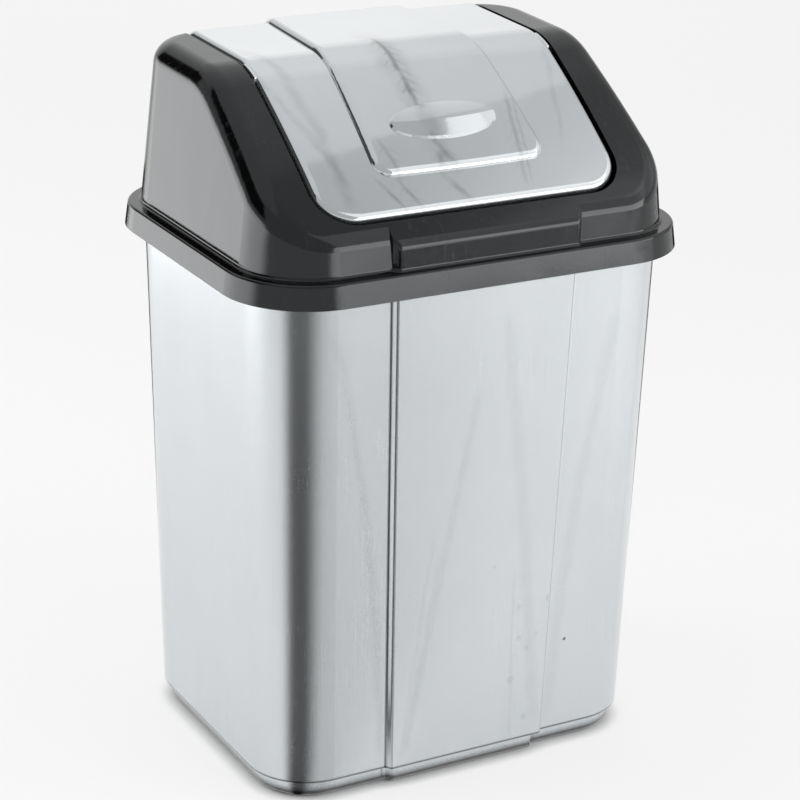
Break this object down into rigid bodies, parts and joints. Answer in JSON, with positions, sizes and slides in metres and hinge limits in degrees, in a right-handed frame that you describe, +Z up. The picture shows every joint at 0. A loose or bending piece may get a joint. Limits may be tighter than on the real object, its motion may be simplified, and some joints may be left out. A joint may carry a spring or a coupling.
{
  "type": "swing-flap trash can",
  "caption": "Tapered rectangular kitchen bin with a stepped foot, a domed hood that drops over its rim, and a wrap-over flap that swings on stub pins.",
  "frame": {"origin": "middle of the foot's underside, on the floor", "axes": "+Z up, +Y to the back, +X to the right seen from the front"},
  "size_m": [0.277, 0.2194, 0.4101],
  "materials": {
    "bucket_silver": "pearl silver, satin gloss",
    "hood_black": "high gloss black",
    "flap_silver": "pearl silver, high gloss"
  },
  "bodies": {
    "bin": {"bin_body": "bucket_silver"},
    "hood": {"lid_hood": "hood_black"},
    "flap": {"swing_flap": "flap_silver"}
  },
  "joints": [
    {"name": "hood_lift", "type": "slide", "parent": "bin", "child": "hood", "axis": [0, 0, 1], "range_m": [0, 0.12]},
    {"name": "flap_swing", "type": "hinge", "parent": "hood", "child": "flap", "pos_m": [0, 0.00248, 0.394], "axis": [1, 0, 0], "range_deg": [-60, 90]}
  ]
}
